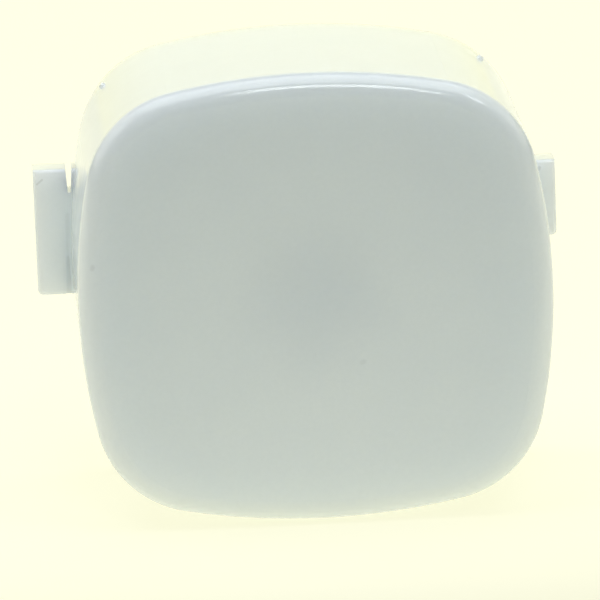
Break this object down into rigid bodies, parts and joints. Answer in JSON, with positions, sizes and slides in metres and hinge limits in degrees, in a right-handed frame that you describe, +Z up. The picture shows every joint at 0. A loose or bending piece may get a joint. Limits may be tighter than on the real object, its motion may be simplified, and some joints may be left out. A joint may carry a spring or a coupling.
{
  "type": "push button cap",
  "caption": "White moulded push button cap with a dished, bow-sided square face, a deep skirt open at the back, a cross-shaped pusher and side lugs that stop it behind the panel.",
  "frame": {"origin": "middle of the pusher's tip, on the line along which the button is pressed", "axes": "+Y is the way the button is pressed, into the panel; the face looks along -Y; +Z is up the face and +X is to the right as seen by the user"},
  "size_m": [0.0297, 0.016, 0.0254],
  "materials": {
    "white_plastic": "smooth white moulded plastic with a soft gloss"
  },
  "bodies": {
    "root": {"button_cap": "white_plastic"}
  },
  "joints": []
}
